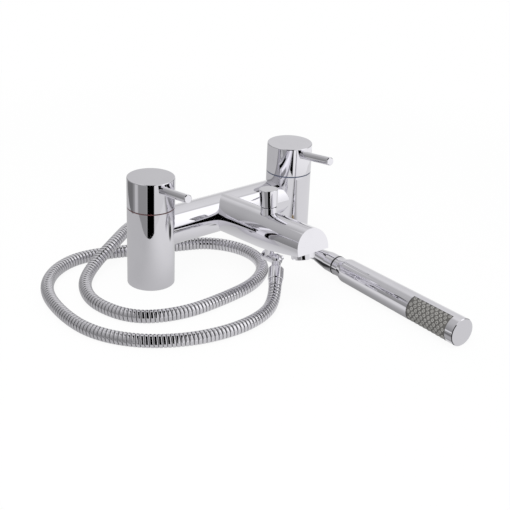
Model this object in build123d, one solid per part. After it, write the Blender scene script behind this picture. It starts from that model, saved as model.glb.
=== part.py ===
"""Bath shower mixer: two deck pillars, a bridge bar, a rising spout with diverter, hose and handset.

Millimetres, +Z up. The origin lies on the deck, midway between the two pillars. The hot pillar is at
-X, the cold one at +X, and the spout points along -Y.
"""
import os
from math import cos, pi, radians, sin, tan

from build123d import *

# Driving sizes of the whole mixer
tap_centres = 180.0
pillar_radius = 24.0
pillar_height = 82.2
head_height = 30.6
tube_radius = 19.5
tube_wall = 3.0
bar_drop = 26.7
spout_reach = 143.0
spout_rise = 4.5
flat_angle = 9.7
flat_tip_depth = 4.1

# Clearances and overruns
fit_gap = 0.05
joint_gap = 0.3
overrun = 2.0

# Pillar casting, its heights measured down from its top
tail_hole_radius = 13.2
tail_hole_depth = 22.0
inlet_radius = 6.0
chamber_height = 20.0
chamber_radius = 12.4
gland_length = 14.0
gland_radius = 10.4
gland_drop = 4.2
counterbore_wall = 4.0
socket_wall = 2.1
port_radius = 8.0
base_seal_wall = 2.4
base_seal_width = 2.6
base_seal_height = 1.6
foot_chamfer = 0.4

# Indicator ring between pillar and handle
ring_height = 0.8
ring_inset = 0.35
ring_width = 3.6

# Handle head
skirt_wall = 2.8
head_roof = 17.0
boss_radius = 8.0
boss_drop = 6.5
head_edge = 0.8
spindle_grip = 9.6

# Pin lever and its grub screw
lever_radius = 4.25
lever_reach = 73.0
lever_tilt = 10.0
lever_drop = 10.7
lever_seat_depth = 1.2
lever_thread_radius = 2.95
lever_thread_end = 11.0
lever_edge = 0.7
grub_radius = 2.4
grub_gap = 0.1
hot_lever_angle = -5.5
cold_lever_angle = -5.5

# Valve under each head
seat_washer_height = 1.5
seat_washer_radius = 8.8
seat_washer_bore = 6.2
disc_radius = 7.9
disc_thickness = 3.0
disc_port_radius = 6.2
disc_port_bore = 2.2
disc_port_arc = 80.0
valve_barrel_radius = 9.2
valve_bore_radius = 8.0
valve_window_width = 8.0
valve_window_height = 4.0
hex_across = 24.0
hex_height = 5.0
neck_radius = 7.4
neck_height = 5.0
carrier_height = 5.4
carrier_width = 8.6
carrier_space = 0.9
spindle_radius = 4.5
spindle_end_radius = 4.0
seal_section = 0.85
seal_share = 0.4
clip_groove_radius = 3.6
clip_radius = 6.4
clip_height = 1.0
clip_slot = 2.4

# Bridge bar, and the diverter's two-storey wall in the spout
bar_port_radius = 11.0
diverter_share = 0.5385
partition_wall = 2.2
partition_reach = 12.0
partition_port_radius = 6.6
outlet_boss_radius = 9.2
outlet_boss_height = 4.6
outlet_face_rise = 1.28
gland_boss_height = 4.9
gland_face_drop = 2.1

# Diverter
collar_radius = 8.3
collar_height = 8.1
collar_thread_radius = 6.0
collar_edge = 0.4
stem_radius = 3.0
knob_radius = 9.4
knob_foot_radius = 8.8
knob_height = 18.0
knob_edge = 0.6
knob_foot_edge = 1.0
knob_grip = 12.0
diverter_travel = 8.0
plug_radius = 8.6
plug_height = 3.4
plug_washer_height = 1.5
plug_stub_radius = 1.5

# Shower outlet: threaded nipple, barrel and ball knuckle in one casting
nipple_thread_radius = 6.0
nipple_recess = 0.9
nipple_flange_radius = 6.8
nipple_flange_height = 1.5
nipple_washer_height = 0.8
nipple_radius = 4.8
nipple_bore = 3.5
check_valve_radius = 4.4
check_valve_height = 5.0
check_valve_bore = 1.6
barrel_drop = 13.9
barrel_radius = 5.2
barrel_back = 6.2
barrel_collar_radius = 5.9
barrel_collar_width = 2.4
barrel_bore = 3.0
ball_reach = 11.0
ball_radius = 6.1
ball_seam_turn = -40.0
knuckle_pin_radius = 2.3
knuckle_pin_reach = 8.4
knuckle_pin_depth = 2.0
outlet_heading = 41.3
outlet_descent = 36.1
outlet_spot = 6.6
outlet_bore = 2.4
outlet_thread_radius = 3.0
outlet_thread_start = 3.2
tail_radius = 4.6
tail_thread_radius = 5.2

# Hose fittings at the outlet
outlet_nut_start = 9.0
outlet_nut_end = 23.2
outlet_nut_radius = 7.7
outlet_nut_top_radius = 6.2
outlet_nut_shoulder = 2.0
outlet_nut_lip = 3.0
outlet_nut_edge = 0.6
hose_washer_height = 2.1
ferrule_radius = 6.9
ferrule_neck = 4.2
ferrule_flange_height = 2.6
ferrule_bore = 3.0
ferrule_length = 4.45

# Aerator
aerator_back = 15.5
aerator_radius = 11.5
aerator_drop = 7.2
aerator_thread_radius = 9.6
aerator_thread_height = 4.4
aerator_mouth_radius = 9.8
aerator_seat_radius = 7.6
aerator_edge = 0.5
aerator_slot_width = 3.2
aerator_slot_depth = 1.4
aerator_slots = 2
aerator_core_radius = 8.6
aerator_core_lip = 1.2
aerator_washer_height = 1.2
aerator_floor = 1.6
aerator_hole_radius = 0.8
aerator_hole_counts = (6, 12)
aerator_hole_shares = (0.4, 0.78)

# Ribbed hose
hose_radius = 6.5
hose_rib_height = 0.8
hose_bore = 3.6
hose_plain_end = 8.0
hose_ribs = 200
bend_share = 0.45
rib_shares = (0.12, 0.3, 0.7, 0.88)
hose_knee = 19.53
route_tap_centres = 180.0
hose_route = (
    (-55, -136, 0), (-95, -141, 0), (-139, -132, 0), (-179, -107, 0), (-204, -68, 0), (-207, -20, 0),
    (-196, 31, 0), (-164, 70, 0), (-124, 85, 0), (-78, 70, 0), (-30, 48, 0), (9, 29, 0), (29, -9, 0),
    (20, -50, 0), (-15, -77, 0), (-63, -85, 0), (-113, -87, 0), (-156, -68, 0), (-171, -24, 0),
    (-162, 14, 0), (-138, 41, 2.5), (-98, 56, 17), (-60, 83, 17), (-33, 106, 2.5), (4, 110, 0),
    (37, 94, 0), (57, 63, 0), (56, 0, 0), (65, -38, 1.5), (75.32, -58, 5.55), (74.67, -80, 5.76),
)

# Handset, measured along its own line from the hose nut's mouth
hose_entry = 8.0
nut_mouth_wall = 0.9
nut_wall = 3.5
nut_flare = 18.0
nut_length = 30.0
nut_throat_end = 10.0
nut_edge = 0.4
nut_thread_wall = 1.7
nut_ferrule_flange = 2.0
nut_washer_height = 2.0
o_ring_width = 1.6
o_ring_rise = 0.2
inlet_collar_end = 37.0
inlet_bore = 5.0
inlet_throat = 3.6
inlet_spigot_wall = 0.7
inlet_spigot_end = 52.0
restrictor_length = 3.0
restrictor_hole = 1.4
shoulder_end = 46.0
shoulder_radius = 12.6
end_radius = 14.1
end_start = 205.0
handset_length = 207.0
grip_bore = 11.0
liner_wall = 1.2
liner_end = 198.0
cap_edge = 0.6
cap_spigot = 7.0
cap_spigot_wall = 2.0
spray_start = 145.3
spray_length = 52.0
spray_centre = 175.0
spray_half_angle = 72.0
spray_recess = 0.4
spray_wall = 2.2
spray_gap_angle = 0.6
spray_port_half_angle = 68.0
spray_port_margin = 1.5
nozzle_radius = 0.6
nozzle_pitch = 5.7
nozzle_row_angle = 16.0
nozzle_rows = 9
nozzle_columns = 9


def flat_depth(reach):
    """Depth of the sliced underside below the spout's axis."""
    return flat_tip_depth + tan(radians(flat_angle)) * (spout_reach - reach)


bar_height = pillar_height - bar_drop
gland_top = pillar_height - gland_drop
chamber_top = gland_top - gland_length
seat_height = chamber_top - chamber_height
counterbore_radius = pillar_radius - counterbore_wall
base_seal_radius = pillar_radius - base_seal_wall
head_base = pillar_height + ring_height + joint_gap
head_top = head_base + head_height
roof_height = head_top - head_roof
lever_height = head_top - lever_drop
valve_base = seat_height + seat_washer_height
hex_top = gland_top + hex_height
neck_top = hex_top + neck_height
seal_height = gland_top + hex_height * seal_share
disc_top = valve_base + 2 * disc_thickness + fit_gap
carrier_base = disc_top + fit_gap
carrier_top = carrier_base + carrier_height
diverter_reach = spout_reach * diverter_share
gland_face_height = tube_radius - gland_face_drop
gland_boss_base = gland_face_height - gland_boss_height
knob_foot_height = gland_face_height + collar_height + joint_gap
outlet_face_depth = flat_depth(diverter_reach) - outlet_face_rise
outlet_boss_top = outlet_face_depth - outlet_boss_height
nipple_thread_top = outlet_boss_top + nipple_recess
barrel_depth = outlet_face_depth + barrel_drop
plug_low = -outlet_boss_top + 2 * fit_gap
plug_top = plug_low + 2 * plug_washer_height + plug_height
shelf_base = plug_top + diverter_travel + 2 * fit_gap
bar_half = tap_centres / 2 - chamber_radius - socket_wall
hose_start = outlet_nut_end + joint_gap + ferrule_length
hose_root_radius = hose_radius - hose_rib_height
nut_mouth_radius = hose_radius + nut_mouth_wall
nut_radius = hose_radius + nut_wall
nut_thread_radius = hose_radius + nut_thread_wall
nut_ferrule_radius = hose_radius - 2 * fit_gap
o_ring_radius = nut_radius + o_ring_rise
inlet_spigot_radius = nut_thread_radius + inlet_spigot_wall

spout_frame = Plane(
    origin=(0, 0, bar_height),
    x_dir=(1, 0, 0),
    z_dir=(0, sin(radians(spout_rise)), cos(radians(spout_rise))),
)
tube_line = Plane(origin=(0, 0, 0), x_dir=(1, 0, 0), z_dir=(0, -1, 0))
bar_line = Plane(origin=(0, 0, bar_height), x_dir=(0, 1, 0), z_dir=(1, 0, 0))
diverter_axis = Pos(0, -diverter_reach, 0)


def turned(outline):
    """A solid turned about Z from (radius, height) corners."""
    return revolve(make_face(Plane.XZ * Polyline(*outline, close=True)), Axis.Z)


def rod(radius, low, high):
    """A plain cylinder about Z."""
    return Pos(0, 0, low) * extrude(Circle(radius), high - low)


def ring(outer, inner, low, high):
    """A plain ring about Z."""
    return Pos(0, 0, low) * extrude(Circle(outer) - Circle(inner), high - low)


def slab(width, depth, low, high):
    """A block centred on Z."""
    return Pos(0, 0, low) * extrude(Rectangle(width, depth), high - low)


def seal_ring(inner_radius, height):
    """A round-section sealing ring about Z, clear of its shaft by a running fit."""
    return Pos(0, 0, height) * Torus(inner_radius + fit_gap + seal_section, seal_section)


def seal_groove(inner_radius, height):
    """The square groove that holds such a ring."""
    half = seal_section + fit_gap
    return ring(inner_radius + 2 * half + fit_gap, inner_radius, height - half, height + half)


def lever_line(angle):
    """A plane whose Z runs out along the lever, at an angle from -Y towards +X."""
    a, t = radians(angle), radians(lever_tilt)
    outward = (sin(a) * cos(t), -cos(a) * cos(t), sin(t))
    return Plane(origin=(0, 0, lever_height), x_dir=(cos(a), sin(a), 0), z_dir=outward)


def flat_plane(reach):
    """A plane on the sliced underside in the spout's frame, Z pointing down and out."""
    a = radians(flat_angle)
    return Plane(
        origin=(0, -reach, -flat_depth(reach)), x_dir=(1, 0, 0), z_dir=(0, -sin(a), -cos(a))
    )


def end_plane():
    """A plane on the end face in the spout's frame, Z pointing out."""
    return Plane(origin=(0, -spout_reach, 0), x_dir=(1, 0, 0), z_dir=flat_plane(spout_reach).y_dir)


def make_pillar(side):
    """One pillar casting at the origin; the bridge leaves it along side * X."""
    body = turned([
        (0, 0), (pillar_radius - foot_chamfer, 0), (pillar_radius, foot_chamfer),
        (pillar_radius, pillar_height), (0, pillar_height),
    ])
    body -= rod(tail_hole_radius, -overrun, tail_hole_depth)
    body -= rod(inlet_radius, 0, seat_height + overrun)
    body -= rod(chamber_radius, seat_height, chamber_top)
    body -= rod(gland_radius + fit_gap, seat_height, pillar_height)
    body -= rod(counterbore_radius, gland_top, pillar_height + overrun)
    body -= ring(base_seal_radius, base_seal_radius - base_seal_width, -overrun, base_seal_height)
    line = Plane(origin=(0, 0, bar_height), x_dir=(0, 1, 0), z_dir=(side, 0, 0))
    body -= line * rod(tube_radius + fit_gap, chamber_radius + socket_wall, pillar_radius + overrun)
    return body - line * rod(port_radius, 0, pillar_radius)


def make_base_seal():
    """The rubber ring under a pillar."""
    return ring(base_seal_radius, base_seal_radius - base_seal_width, 0, base_seal_height)


def make_bridge():
    """The bridge bar, open at both ends and towards the spout."""
    tube = bar_line * ring(tube_radius, tube_radius - tube_wall, -bar_half, bar_half)
    forward = Plane(origin=(0, 0, bar_height), x_dir=(1, 0, 0), z_dir=(0, -1, 0))
    return tube - forward * rod(bar_port_radius, 0, tube_radius + overrun)


def tube_form(radius, wall):
    """The spout's outline, or its waterway when a wall is given."""
    body = tube_line * rod(radius, 0, spout_reach + tube_radius)
    span = 2 * spout_reach
    body -= flat_plane(spout_reach) * slab(2 * span, 2 * span, -wall, span)
    return body - end_plane() * slab(span, span, -wall, span)


def partition():
    """The shelf and two walls that turn the water through the diverter."""
    shelf_top = shelf_base + partition_wall
    near = diverter_reach - partition_reach
    far = diverter_reach + partition_reach
    span = 2 * tube_radius
    wall = partition_wall
    parts = diverter_axis * slab(span, 2 * partition_reach, shelf_base, shelf_top)
    parts -= diverter_axis * rod(partition_port_radius, 0, tube_radius)
    parts += Pos(0, -near - wall / 2, 0) * slab(span, wall, shelf_base, tube_radius)
    parts += Pos(0, -far + wall / 2, 0) * slab(span, wall, -tube_radius, shelf_top)
    parts += diverter_axis * rod(outlet_boss_radius, -tube_radius, -outlet_boss_top)
    return parts + diverter_axis * rod(outlet_boss_radius, gland_boss_base, tube_radius)


def aerator_plane():
    """The aerator's place on the underside in the spout's frame."""
    return flat_plane(spout_reach - aerator_back)


def place_aerator(shape):
    """Move an aerator piece to its place in the mixer."""
    return spout_frame * (aerator_plane() * shape)


def place_diverter(shape):
    """Move a diverter or outlet piece to its place in the mixer."""
    return spout_frame * (diverter_axis * shape)


def make_spout():
    """The spout casting."""
    body = tube_form(tube_radius, 0)
    body -= tube_form(tube_radius - tube_wall, tube_wall) - partition()
    body -= diverter_axis * rod(nipple_thread_radius + fit_gap, -tube_radius, 0)
    body -= diverter_axis * rod(outlet_boss_radius - fit_gap, -2 * tube_radius, -outlet_face_depth)
    body -= diverter_axis * rod(collar_thread_radius + fit_gap, shelf_base + partition_wall, tube_radius)
    body -= diverter_axis * rod(collar_radius + joint_gap, gland_face_height, 2 * tube_radius)
    body -= aerator_plane() * rod(aerator_thread_radius + fit_gap, -2 * tube_wall, overrun)
    saddle = Plane(origin=(0, 0, 0), x_dir=(0, 1, 0), z_dir=(1, 0, 0))
    body -= saddle * rod(tube_radius + fit_gap, -2 * tube_radius, 2 * tube_radius)
    return spout_frame * body


def make_indicator_ring():
    """The coloured ring on top of a pillar."""
    outer = pillar_radius - ring_inset
    return ring(outer, outer - ring_width, pillar_height, pillar_height + ring_height)


def make_head(angle):
    """The handle head with its skirt, boss, lever hole and grub-screw hole."""
    body = turned([
        (0, head_base), (pillar_radius - head_edge / 4, head_base),
        (pillar_radius, head_base + head_edge / 4), (pillar_radius, head_top), (0, head_top),
    ])
    body = fillet(body.edges().group_by(Axis.Z)[-1], head_edge)
    hollow = rod(pillar_radius - skirt_wall, head_base - overrun, roof_height)
    hollow -= rod(boss_radius, roof_height - boss_drop, roof_height)
    body -= hollow
    body -= rod(spindle_end_radius + fit_gap, head_base, roof_height + spindle_grip)
    line = lever_line(angle)
    body -= line * rod(lever_radius + fit_gap, pillar_radius - lever_seat_depth, 2 * pillar_radius)
    body -= line * rod(lever_thread_radius + fit_gap, lever_thread_end, pillar_radius)
    return body - line * rod(grub_radius + fit_gap, 0, pillar_radius)


def make_lever(angle):
    """The straight pin lever with its threaded root."""
    root = pillar_radius - lever_seat_depth
    pin = turned([
        (0, root), (lever_radius, root), (lever_radius, lever_reach - lever_edge),
        (lever_radius - lever_edge, lever_reach), (0, lever_reach),
    ])
    pin += rod(lever_thread_radius, lever_thread_end + joint_gap, root)
    return lever_line(angle) * pin


def make_grub_screw(angle):
    """The screw that holds the head on its spindle."""
    t = radians(lever_tilt)
    start = (spindle_end_radius + grub_gap + grub_radius * sin(t)) / cos(t)
    end = lever_thread_end - joint_gap
    screw = rod(grub_radius, start, end)
    screw -= Pos(0, 0, (start + end) / 2) * extrude(RegularPolygon(grub_radius / 2, 6), end)
    return lever_line(angle) * screw


def port_sectors(low, high, turn):
    """The two sector-shaped ports of a valve disc."""
    arc = disc_port_arc
    blade = Polyline(
        (0, 0), (disc_radius * 2, 0),
        (disc_radius * 2, disc_radius * 2 * tan(radians(arc / 2))),
        (disc_radius * 2 * cos(radians(arc)), disc_radius * 2 * sin(radians(arc))), close=True,
    )
    wedge = Pos(0, 0, low) * extrude(make_face(blade), high - low)
    band = ring(disc_port_radius, disc_port_bore, low, high)
    both = wedge + Rot(Z=180) * wedge
    return Rot(Z=turn) * (both & band)


def make_disc(low, turn):
    """One ceramic valve disc."""
    high = low + disc_thickness
    return rod(disc_radius, low, high) - port_sectors(low, high, turn)


def make_valve_body():
    """The brass valve body: windowed barrel, threaded gland, hexagon and neck."""
    body = rod(valve_barrel_radius, valve_base, chamber_top)
    body += rod(gland_radius, chamber_top, gland_top)
    body += Pos(0, 0, gland_top) * extrude(RegularPolygon(hex_across / 2, 6, major_radius=False), hex_height)
    body += rod(neck_radius, hex_top, neck_top)
    body -= rod(valve_bore_radius, valve_base - overrun, carrier_top + carrier_space)
    body -= rod(spindle_radius + fit_gap, valve_base, neck_top + overrun)
    body -= seal_groove(spindle_radius, seal_height)
    span = 2 * gland_radius
    low = carrier_base + (carrier_height - valve_window_height) / 2
    window = slab(span, valve_window_width, low, low + valve_window_height)
    return body - window


def make_spindle(turn):
    """The valve spindle with its carrier, clip groove and reduced end."""
    body = rod(disc_radius, carrier_base, carrier_top)
    body &= Rot(Z=turn) * slab(2 * disc_radius, carrier_width, carrier_base, carrier_top)
    body += rod(spindle_radius, carrier_base, neck_top)
    body += rod(spindle_end_radius, neck_top, roof_height + spindle_grip - joint_gap)
    groove_top = neck_top + 2 * fit_gap + clip_height + fit_gap
    return body - ring(2 * spindle_radius, clip_groove_radius, neck_top + fit_gap, groove_top)


def make_clip():
    """The retaining clip round the spindle."""
    low = neck_top + 2 * fit_gap
    body = ring(clip_radius, clip_groove_radius + fit_gap, low, low + clip_height)
    return body - Pos(0, clip_radius, 0) * slab(clip_slot, 2 * clip_radius, low, low + clip_height)


def make_knob():
    """The diverter's pull knob."""
    top = knob_foot_height + knob_height
    body = turned([
        (0, knob_foot_height), (knob_foot_radius - knob_foot_edge, knob_foot_height),
        (knob_foot_radius, knob_foot_height + knob_foot_edge), (knob_radius, top), (0, top),
    ])
    body = fillet(body.edges().group_by(Axis.Z)[-1], knob_edge)
    return body - rod(stem_radius + fit_gap, knob_foot_height - overrun, knob_foot_height + knob_grip)


def make_stem():
    """The diverter stem with its plug disc and lower stub."""
    low = plug_low + plug_washer_height
    body = rod(plug_radius, low, low + plug_height)
    body += rod(stem_radius, low, knob_foot_height + knob_grip - joint_gap)
    return body + rod(plug_stub_radius, plug_low + joint_gap, low)


def make_plug_washer(low, bore):
    """A rubber face of the diverter plug."""
    return ring(plug_radius, bore + fit_gap, low, low + plug_washer_height)


def make_collar():
    """The collar and gland the diverter stem slides in."""
    top = knob_foot_height - joint_gap
    body = turned([
        (0, gland_face_height), (collar_radius, gland_face_height), (collar_radius, top - collar_edge),
        (collar_radius - collar_edge, top), (0, top),
    ])
    body += rod(collar_thread_radius, gland_boss_base, gland_face_height)
    body -= rod(stem_radius + fit_gap, gland_boss_base - overrun, knob_foot_height)
    return body - seal_groove(stem_radius, (gland_face_height + top) / 2)


def outlet_line():
    """The outlet's line in the mixer's frame, Z pointing along the tail and hose."""
    h = radians(outlet_heading)
    d = radians(outlet_descent)
    centre = spout_frame.from_local_coords((0, -diverter_reach - ball_reach, -barrel_depth))
    return Plane(
        origin=centre, x_dir=(cos(h), -sin(h), 0), z_dir=(-sin(h) * cos(d), -cos(h) * cos(d), -sin(d))
    )


def make_elbow():
    """The outlet elbow: nipple, barrel and ball in one casting."""
    face = outlet_face_depth + nipple_washer_height
    body = rod(nipple_thread_radius, -face, -nipple_thread_top)
    body += rod(nipple_flange_radius, -face - nipple_flange_height, -face)
    body += rod(nipple_radius, -barrel_depth, -face)
    line = Plane(origin=(0, 0, -barrel_depth), x_dir=(1, 0, 0), z_dir=(0, -1, 0))
    body += line * rod(barrel_radius, -barrel_back, ball_reach)
    body += line * rod(barrel_collar_radius, -barrel_back, -barrel_back + barrel_collar_width)
    body += Pos(0, -ball_reach, -barrel_depth) * Rot(Z=ball_seam_turn) * Sphere(ball_radius)
    body -= rod(nipple_bore, -barrel_depth, 0)
    body -= rod(check_valve_radius + fit_gap, -nipple_thread_top - check_valve_height, 0)
    body -= line * rod(barrel_bore, 0, ball_reach)
    body = place_diverter(body)
    out = outlet_line()
    body += out * rod(tail_radius, 0, outlet_spot)
    body -= out * rod(outlet_bore, 0, outlet_spot)
    body -= out * rod(outlet_thread_radius + fit_gap, outlet_thread_start, outlet_spot + overrun)
    return body - knuckle_pin_place() * rod(knuckle_pin_radius + fit_gap, 0, ball_radius)


def knuckle_pin_place():
    """The knuckle pin's seat in the ball, Z pointing towards +X."""
    centre = spout_frame.from_local_coords((0, -diverter_reach - ball_reach, -barrel_depth))
    seat = centre + Vector(ball_radius - knuckle_pin_depth, 0, 0)
    return Plane(origin=seat, x_dir=(0, 1, 0), z_dir=(1, 0, 0))


def make_knuckle_pin():
    """The round pin head at the side of the ball."""
    length = knuckle_pin_reach - ball_radius + knuckle_pin_depth
    pin = rod(knuckle_pin_radius, 0, length)
    return knuckle_pin_place() * chamfer(pin.edges().group_by(Axis.Z)[-1], outlet_nut_edge)


def make_check_valve():
    """The non-return insert at the nipple's top."""
    low = -nipple_thread_top - check_valve_height
    return place_diverter(ring(check_valve_radius, check_valve_bore, low, -nipple_thread_top))


def make_nipple_washer():
    """The washer between nipple flange and spout."""
    low = -outlet_face_depth - nipple_washer_height
    inner = nipple_thread_radius + fit_gap
    return place_diverter(ring(nipple_flange_radius, inner, low, -outlet_face_depth))


tail_end = outlet_nut_end - outlet_nut_lip - ferrule_flange_height - hose_washer_height


def make_tail():
    """The threaded tail the hose nut screws onto."""
    body = rod(outlet_thread_radius, outlet_thread_start + joint_gap, outlet_spot)
    body += rod(tail_radius, outlet_spot, outlet_nut_start)
    body += rod(tail_thread_radius, outlet_nut_start, tail_end)
    return outlet_line() * (body - rod(outlet_bore, outlet_thread_start, tail_end))


def make_outlet_nut():
    """The round hose nut at the outlet."""
    body = turned([
        (0, outlet_nut_start), (outlet_nut_top_radius, outlet_nut_start),
        (outlet_nut_radius, outlet_nut_start + outlet_nut_shoulder),
        (outlet_nut_radius, outlet_nut_end - outlet_nut_edge),
        (outlet_nut_radius - outlet_nut_edge, outlet_nut_end), (0, outlet_nut_end),
    ])
    body -= rod(tail_thread_radius + fit_gap, 0, outlet_nut_end - outlet_nut_lip)
    return outlet_line() * (body - rod(ferrule_neck + fit_gap, 0, outlet_nut_end + overrun))


def make_outlet_washer():
    """The washer between tail and ferrule."""
    return outlet_line() * ring(tail_thread_radius, ferrule_bore, tail_end, tail_end + hose_washer_height)


def make_outlet_ferrule():
    """The hose's ferrule at the outlet, flanged inside the nut."""
    low = tail_end + hose_washer_height
    body = rod(tail_thread_radius, low, low + ferrule_flange_height)
    body += rod(ferrule_neck, low, outlet_nut_end + joint_gap)
    body += rod(ferrule_radius, outlet_nut_end + joint_gap, hose_start)
    return outlet_line() * (body - rod(ferrule_bore, 0, hose_start + overrun))


def make_aerator_housing():
    """The aerator's chromed shell, screwed into the underside."""
    body = turned([
        (0, 0), (aerator_radius, 0), (aerator_radius, aerator_drop - aerator_edge),
        (aerator_radius - aerator_edge, aerator_drop), (0, aerator_drop),
    ])
    body += rod(aerator_thread_radius, -aerator_thread_height, 0)
    body -= rod(aerator_core_radius + fit_gap, -aerator_thread_height - overrun, aerator_floor)
    body -= rod(aerator_seat_radius, 0, aerator_drop)
    body -= rod(aerator_mouth_radius, aerator_drop - aerator_slot_depth, aerator_drop + overrun)
    for number in range(aerator_slots):
        turn = Rot(Z=180 * number / aerator_slots)
        low = aerator_drop - aerator_slot_depth
        body -= turn * slab(3 * aerator_radius, aerator_slot_width, low, aerator_drop + overrun)
    return place_aerator(body)


def make_aerator_core():
    """The perforated mixing insert in the aerator."""
    low = -aerator_thread_height + aerator_core_lip
    body = rod(aerator_core_radius, low, aerator_floor)
    body -= rod(aerator_core_radius - aerator_core_lip, low, aerator_floor - aerator_core_lip)
    tops = [(0.0, 0.0)]
    for count, share in zip(aerator_hole_counts, aerator_hole_shares):
        reach = aerator_seat_radius * share
        tops += [(reach * cos(2 * pi * n / count), reach * sin(2 * pi * n / count)) for n in range(count)]
    for x, y in tops:
        body -= Pos(x, y, 0) * rod(aerator_hole_radius, low, aerator_floor + overrun)
    return place_aerator(body)


def make_aerator_washer():
    """The rubber washer on top of the aerator insert."""
    top = -aerator_thread_height + aerator_core_lip
    inner = aerator_core_radius - aerator_core_lip
    return place_aerator(ring(aerator_core_radius, inner, top - aerator_washer_height, top))


def hose_points():
    """The route's points: two on the outlet's line, then the listed ones, lifted by the hose's radius."""
    start, knee = (
        outlet_line().from_local_coords((0, 0, place)) for place in (hose_start, hose_start + hose_knee)
    )
    spread = tap_centres / route_tap_centres
    return [start, knee] + [Vector(x * spread, y, lift + hose_radius) for x, y, lift in hose_route]


def hose_path():
    """The hose's centre line, with its bend radii."""
    points = hose_points()
    runs = [(b - a).length for a, b in zip(points, points[1:])]
    turns = [
        (b - a).get_angle(c - b) for a, b, c in zip(points, points[1:], points[2:])
    ]
    straight = 2 * hose_radius
    reach = [bend_share * run for run in runs]
    reach[0] = runs[0] - straight
    reach[-1] = runs[-1] - straight
    radii = []
    for number, turn in enumerate(turns):
        half = min(reach[number], reach[number + 1], bend_share * max(runs[number], runs[number + 1]))
        radii.append(half / tan(radians(turn) / 2))
    return FilletPolyline(*points, radius=radii), radii


def hose_ring(path, place, radius):
    """A circle square to the hose's centre line."""
    at = min(max(place / path.length, 0), 1)
    tangent = path.tangent_at(at)
    across = tangent.cross(Vector(0, 0, 1)).normalized()
    return Plane(origin=path.position_at(at), x_dir=across, z_dir=tangent) * Circle(radius)


def make_hose():
    """The ribbed metal hose with its bore."""
    line, radii = hose_path()
    path = line.wire()
    length = path.length
    pitch = (length - 2 * hose_plain_end) / hose_ribs
    stations = [(0, hose_root_radius), (hose_plain_end, hose_root_radius)]
    heights = (hose_root_radius, hose_radius, hose_radius, hose_root_radius)
    for number in range(hose_ribs):
        start = hose_plain_end + number * pitch
        stations += [(start + share * pitch, height) for share, height in zip(rib_shares, heights)]
    stations += [(length - hose_plain_end, hose_root_radius), (length, hose_root_radius)]
    rings = [hose_ring(path, place, radius).face() for place, radius in stations]
    body = loft(rings, ruled=True)
    body -= sweep(hose_ring(path, 0, hose_bore), path=path)
    report_hose(path, radii, body.volume, stations)
    return body


def report_hose(path, radii, volume, stations):
    """Print the hose's length, bends, closeness to itself and volume."""
    length = path.length
    print("hose length", round(length, 1))
    print("bend radii in diameters", [round(r / (2 * hose_radius), 1) for r in radii])
    section = 0.0
    for (a, ra), (b, rb) in zip(stations, stations[1:]):
        section += pi * (b - a) * (ra * ra + ra * rb + rb * rb) / 3
    section -= pi * hose_bore ** 2 * length
    print("volume over section times length", round(volume / section, 4))
    step = hose_radius
    count = int(length / step)
    spots = [path.position_at(number / count) for number in range(count + 1)]
    apart = 4 * hose_radius * pi
    least = min(
        (spots[i] - spots[j]).length
        for i in range(count + 1) for j in range(i + 1, count + 1) if (j - i) * step > apart
    )
    print("least self gap", round(least - 2 * hose_radius, 2))


def handset_line():
    """The handset's line: the hose's last run, Z pointing away from the hose."""
    before, end = hose_points()[-2:]
    along = (end - before).normalized()
    across = along.cross(Vector(0, 0, 1)).normalized()
    return Plane(origin=end - along * hose_entry, x_dir=-across, z_dir=along)


def body_radius(place):
    """The handset's outside radius between shoulder and end."""
    share = (place - shoulder_end) / (end_start - shoulder_end)
    return shoulder_radius + (end_radius - shoulder_radius) * share


inlet_start = nut_throat_end + nut_ferrule_flange + nut_washer_height
collar_start = nut_length + o_ring_width


def make_handset_nut():
    """The conical hose nut at the handset."""
    body = turned([
        (0, 0), (nut_mouth_radius, 0), (nut_radius, nut_flare), (nut_radius, nut_length - nut_edge),
        (nut_radius - nut_edge, nut_length), (0, nut_length),
    ])
    body -= rod(hose_radius + 2 * fit_gap, -overrun, nut_throat_end)
    return handset_line() * (body - rod(nut_thread_radius + fit_gap, nut_throat_end, nut_length + overrun))


def make_handset_ferrule():
    """The hose's ferrule inside the conical nut."""
    body = rod(nut_ferrule_radius, hose_entry, nut_throat_end)
    body += rod(nut_thread_radius, nut_throat_end, nut_throat_end + nut_ferrule_flange)
    return handset_line() * (body - rod(ferrule_bore, 0, nut_length))


def make_handset_washer():
    """The washer between ferrule and handset inlet."""
    low = nut_throat_end + nut_ferrule_flange
    return handset_line() * ring(nut_thread_radius, inlet_bore, low, low + nut_washer_height)


def make_handset_o_ring():
    """The dark ring between nut and handset."""
    return handset_line() * ring(o_ring_radius, nut_thread_radius + fit_gap, nut_length, collar_start)


def make_handset_inlet():
    """The handset's threaded inlet with its collar and spigot."""
    body = rod(nut_thread_radius, inlet_start, collar_start)
    body += rod(nut_radius, collar_start, inlet_collar_end)
    body += rod(inlet_spigot_radius, inlet_collar_end, inlet_spigot_end)
    body -= rod(inlet_bore, 0, inlet_start + restrictor_length + fit_gap)
    return handset_line() * (body - rod(inlet_throat, 0, inlet_spigot_end + overrun))


def make_restrictor():
    """The flow restrictor in the inlet."""
    high = inlet_start + restrictor_length
    return handset_line() * ring(inlet_bore - fit_gap, restrictor_hole, inlet_start, high)


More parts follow.
